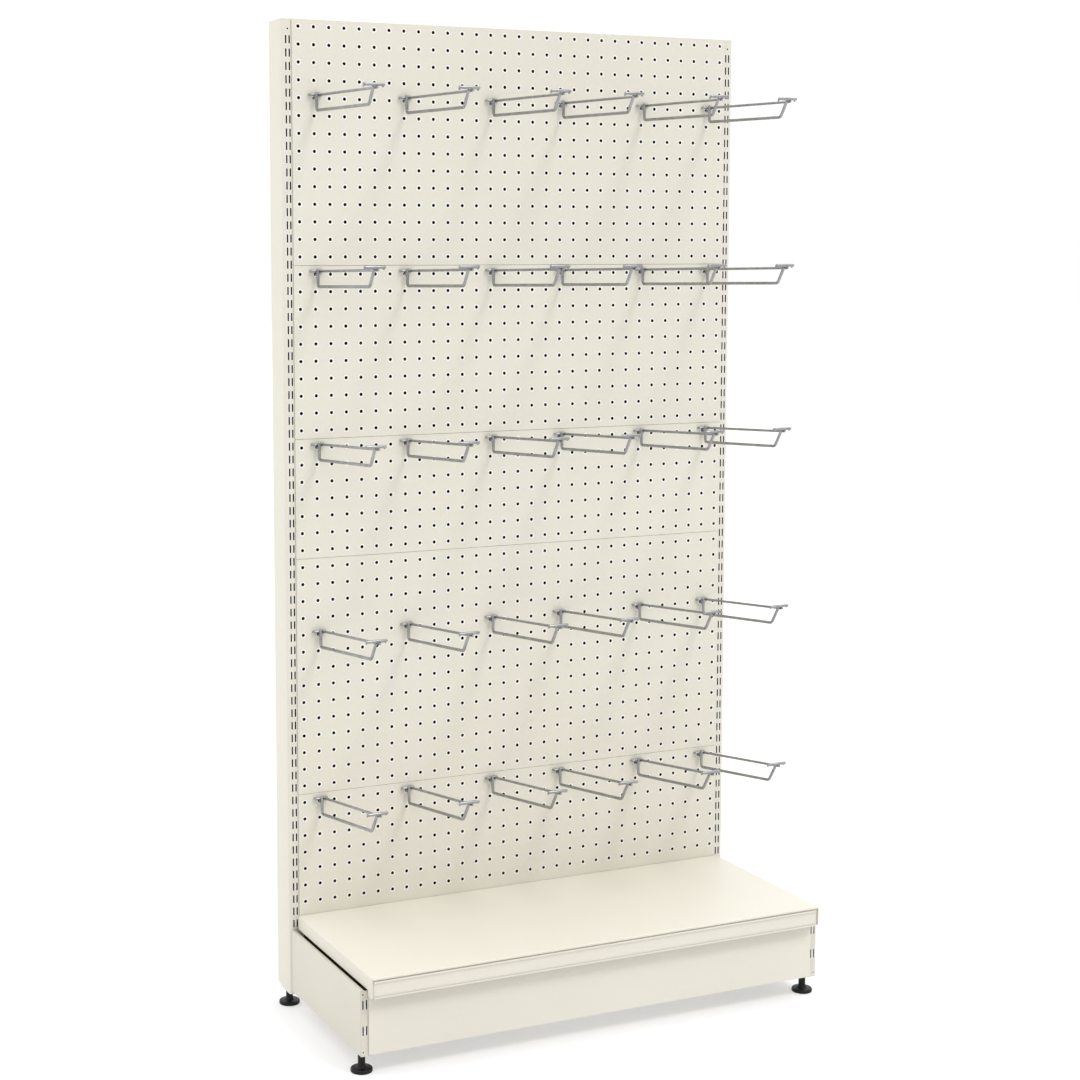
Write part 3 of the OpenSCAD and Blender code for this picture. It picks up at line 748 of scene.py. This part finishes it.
def ticket_up(rise):
    """Height of the ticket bar above the crossbar."""
    return (REACH - BAR_FORWARD) * math.tan(rise) + TICKET_R + ARM_R - TICKET_SINK


def forward(origin, ahead, up, x):
    """A point from distances ahead of the panel, above the crossbar and to the right of the peg."""
    return origin + Vector((x, -ahead, BAR_RISE + up))


def prong_path(origin, rise):
    """Down the leg, out along the prong and up its tip to just under the ticket bar."""
    centre = Vector((LEG_FORWARD + ROOT_R, -DROP + ROOT_R))
    on_prong = centre - ROOT_R * Vector((-math.sin(rise), math.cos(rise)))
    along = Vector((math.cos(rise), math.sin(rise)))
    tip_way = Vector((math.cos(TIP), math.sin(TIP)))
    tip_end = Vector((REACH, ticket_up(rise))) - tip_way * (TICKET_R + HOOK_R + REST_GAP)
    heel = on_prong + along * ((LEG_FORWARD - on_prong.x) / along.x)
    gap = tip_end - on_prong
    run = (gap.x * tip_way.y - gap.y * tip_way.x) / (along.x * tip_way.y - along.y * tip_way.x)
    knee = on_prong + along * run
    flat = rounded([(LEG_FORWARD, BAR_R), heel, knee, tip_end], [ROOT_R, TIP_R], steps=8)
    return [forward(origin, p.x, p.y, LEG_X) for p in flat]


def make_hook_row(row, places):
    bm = bmesh.new()
    for origin in places:
        bar = rounded([(BAR_LEFT, BAR_STAND, 0), (BAR_LEFT, BAR_FORWARD, 0), (BAR_RIGHT, BAR_FORWARD, 0),
                       (BAR_RIGHT, BAR_STAND, 0)], [2.8 * MM] * 2, steps=6)
        wire(bm, [forward(origin, p.y, 0, p.x) for p in bar], BAR_R)
        wire(bm, prong_path(origin, rise_of(row)), HOOK_R)
        peg = rounded([(-LEG_FORWARD, 0), (PEG_RUN, 0), (PEG_RUN, PEG_RUN)], [4 * MM], steps=8)
        wire(bm, [origin + Vector((0, p.x, p.y - PEG_SEAT)) for p in peg], PEG_R)
        bead(bm, forward(origin, 7.9 * MM, -0.6 * MM, LEG_X), (3.3 * MM, 2.2 * MM, 3.2 * MM))
        bead(bm, forward(origin, 8.6 * MM, -7 * MM, 1 * MM), (3.0 * MM, 2.0 * MM, 2.9 * MM))
    bmesh.ops.recalc_face_normals(bm, faces=bm.faces)
    hooks = piece(f"wire_hooks_row_{row}", bm, [ZINC], "bay_frame", f"hook_row_{row}")
    smooth(hooks)


def make_ticket_arm(row, i, origin):
    bm = bmesh.new()
    eye = forward(origin, BAR_FORWARD, 0, EYE_X)
    inner, outer, half, soft = 2.57 * MM, 4.55 * MM, 2.75 * MM, 0.9 * MM
    flat = half - soft
    profile = [(inner, -flat), (inner + 0.3 * MM, -half)]
    for centre, start in ((-flat, -math.pi / 2), (flat, 0)):
        for k in range(5):
            turn = start + math.pi / 2 * k / 4
            profile.append((outer - soft + soft * math.cos(turn), centre + soft * math.sin(turn)))
    profile += [(inner + 0.3 * MM, half), (inner, flat), (inner, -flat)]
    turned(bm, profile, eye, axis="X", segments=24)
    start = (inner + outer) / 2
    rise = rise_of(row)
    end = (REACH - BAR_FORWARD) / math.cos(rise)
    way = Vector((0, -math.cos(rise), math.sin(rise)))
    wire(bm, [eye + way * start, eye + way * (end * 0.5), eye + way * end], ARM_R, domed=(False, True))
    back = TICKET_BACK * math.sqrt(0.5)
    level = forward(origin, REACH, ticket_up(rise), LEG_X)
    wire(bm, [level + Vector((s * TICKET_HALF, 0, 0)) for s in (-1, 0, 1)], TICKET_R, dome_steps=5)
    for s in (-1, 1):
        corner = level + Vector((s * TICKET_HALF, 0, 0))
        wire(bm, [corner, corner + Vector((0, back / 2, -back / 2)), corner + Vector((0, back, -back))], 2 * MM,
             domed=(False, True))
    bead(bm, level + Vector((EYE_X - LEG_X, 3.2 * MM, -3.2 * MM)), (2.6 * MM, 2.0 * MM, 1.5 * MM))
    bmesh.ops.remove_doubles(bm, verts=bm.verts, dist=1e-7)
    bmesh.ops.recalc_face_normals(bm, faces=bm.faces)
    arm = piece(f"ticket_wire_{row}_{i}", bm, [ZINC], f"arm_{row}_{i}", f"ticket_arm_{row}_{i}")
    smooth(arm)


# ---- levelling feet ----

def make_foot(place):
    node = f"foot_{place}"
    low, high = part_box(node)
    at = ((low.x + high.x) / 2, (low.y + high.y) / 2, low.z)
    disc = (high.x - low.x) / 2
    top = high.z - low.z
    profile = [(0, 0), (disc - 1.6 * MM, 0), (disc - 0.5 * MM, 0.5 * MM), (disc, 1.6 * MM), (disc, 5 * MM)]
    profile += [(disc - 2.4 * MM + 2.4 * MM * math.cos(t), 5 * MM + 2.6 * MM * math.sin(t))
                for t in (math.pi / 2 * k / 5 for k in range(1, 6))]
    profile += [(12.5 * MM, 8 * MM), (10.6 * MM, 8.5 * MM), (9.2 * MM, 9.8 * MM), (8.1 * MM, 11.6 * MM),
                (7.3 * MM, 14.5 * MM), (7 * MM, 18 * MM), (7 * MM, 29.2 * MM), (6.4 * MM, 30 * MM), (6 * MM, 30 * MM)]
    pitch, depth = 1.75 * MM, 0.55 * MM
    turns = int((top - 32 * MM) / pitch)
    for k in range(turns):
        z = 31 * MM + k * pitch
        profile += [(6 * MM - depth, z), (6 * MM, z + pitch / 2)]
    profile += [(6 * MM - depth, top - 0.5 * MM), (4.8 * MM, top), (0, top)]
    bm = bmesh.new()
    turned(bm, profile, at, segments=40)
    bmesh.ops.remove_doubles(bm, verts=bm.verts, dist=1e-7)
    bmesh.ops.recalc_face_normals(bm, faces=bm.faces)
    foot = piece(f"levelling_{place}", bm, [BLACK], f"{place}_foot", node)
    smooth(foot, 35)


# ---- studio ----

def make_camera():
    camera = bpy.data.cameras.new("camera")
    camera.lens = CAMERA_LENS
    camera.sensor_width = 36
    camera.shift_x, camera.shift_y = CAMERA_SHIFT
    holder = bpy.data.objects.new("camera", camera)
    look = Euler((math.pi / 2 + CAMERA_PITCH, 0, -CAMERA_YAW), "XYZ").to_matrix()
    holder.rotation_euler = (look @ Matrix.Rotation(CAMERA_ROLL, 3, "Z")).to_euler()
    holder.location = CAMERA_AT
    bpy.context.scene.collection.objects.link(holder)
    bpy.context.scene.camera = holder


def area_light(name, at, towards, size, power):
    light = bpy.data.lights.new(name, "AREA")
    light.shape = "DISK"
    light.size = size
    light.energy = power
    holder = bpy.data.objects.new(name, light)
    holder.location = at
    holder.rotation_euler = (Vector(towards) - Vector(at)).to_track_quat("-Z", "Y").to_euler()
    bpy.context.scene.collection.objects.link(holder)


def make_studio():
    world = bpy.data.worlds.new("studio")
    bpy.context.scene.world = world
    world.use_nodes = True
    background = world.node_tree.nodes["Background"]
    background.inputs["Color"].default_value = (1, 1, 1, 1)
    # a white backdrop, brighter overhead and dimmer on the side that the goods face
    sky = world.node_tree
    way = add(sky, "ShaderNodeSeparateXYZ")
    sky.links.new(add(sky, "ShaderNodeTexCoord").outputs["Generated"], way.inputs["Vector"])
    dimmed = add(sky, "ShaderNodeMath", operation="MULTIPLY")
    sky.links.new(spread(sky, way.outputs["Z"], 1.0, 1.7), dimmed.inputs[0])
    sky.links.new(spread(sky, way.outputs["Y"], 0.58, 1.0, start=-0.7, end=0.2), dimmed.inputs[1])
    sky.links.new(dimmed.outputs["Value"], background.inputs["Strength"])
    key = bpy.data.lights.new("key", "SUN")
    key.energy = 1.1
    key.angle = math.radians(16)
    holder = bpy.data.objects.new("key", key)
    holder.rotation_euler = Vector((-1.3, 2.4, -3.6)).to_track_quat("-Z", "Y").to_euler()
    bpy.context.scene.collection.objects.link(holder)
    area_light("side", (-2.6, -0.6, 3.4), (-0.5, 0.1, 1.6), 1.8, 6)

    material, tree, shader = node_tree("pale_floor")
    grey = ramp(tree, noise(tree, 1.2, detail=2), [(0.3, (0.50, 0.50, 0.50)), (0.7, (0.515, 0.515, 0.515))])
    tree.links.new(grey, shader.inputs["Base Color"])
    shader.inputs["Emission Color"].default_value = (1, 1, 1, 1)
    shader.inputs["Emission Strength"].default_value = 0.45
    shader.inputs["Roughness"].default_value = 0.9
    shader.inputs["Specular IOR Level"].default_value = 0.1
    bm = bmesh.new()
    bmesh.ops.create_grid(bm, x_segments=1, y_segments=1, size=40)
    mesh = bpy.data.meshes.new("floor")
    bm.to_mesh(mesh)
    bm.free()
    mesh.materials.append(material)
    floor = bpy.data.objects.new("floor", mesh)
    bpy.context.scene.collection.objects.link(floor)
    bpy.context.scene.view_settings.view_transform = "Standard"


make_camera()
make_studio()
finish_cad_nodes()
first_row = 0
for number, rows in enumerate(PANEL_ROWS, start=1):
    make_panel(number, first_row, rows)
    first_row += rows
for side in (-1, 1):
    make_upright(side)
    make_leg(side)
make_shelf()
make_price_rail()
make_kick_plate()
hooks = list(hook_places())
for row in range(1, 6):
    make_hook_row(row, [place for r, i, place in hooks if r == row])
for row, i, place in hooks:
    make_ticket_arm(row, i, place)
for place in ("front_left", "front_right", "rear_left", "rear_right"):
    make_foot(place)
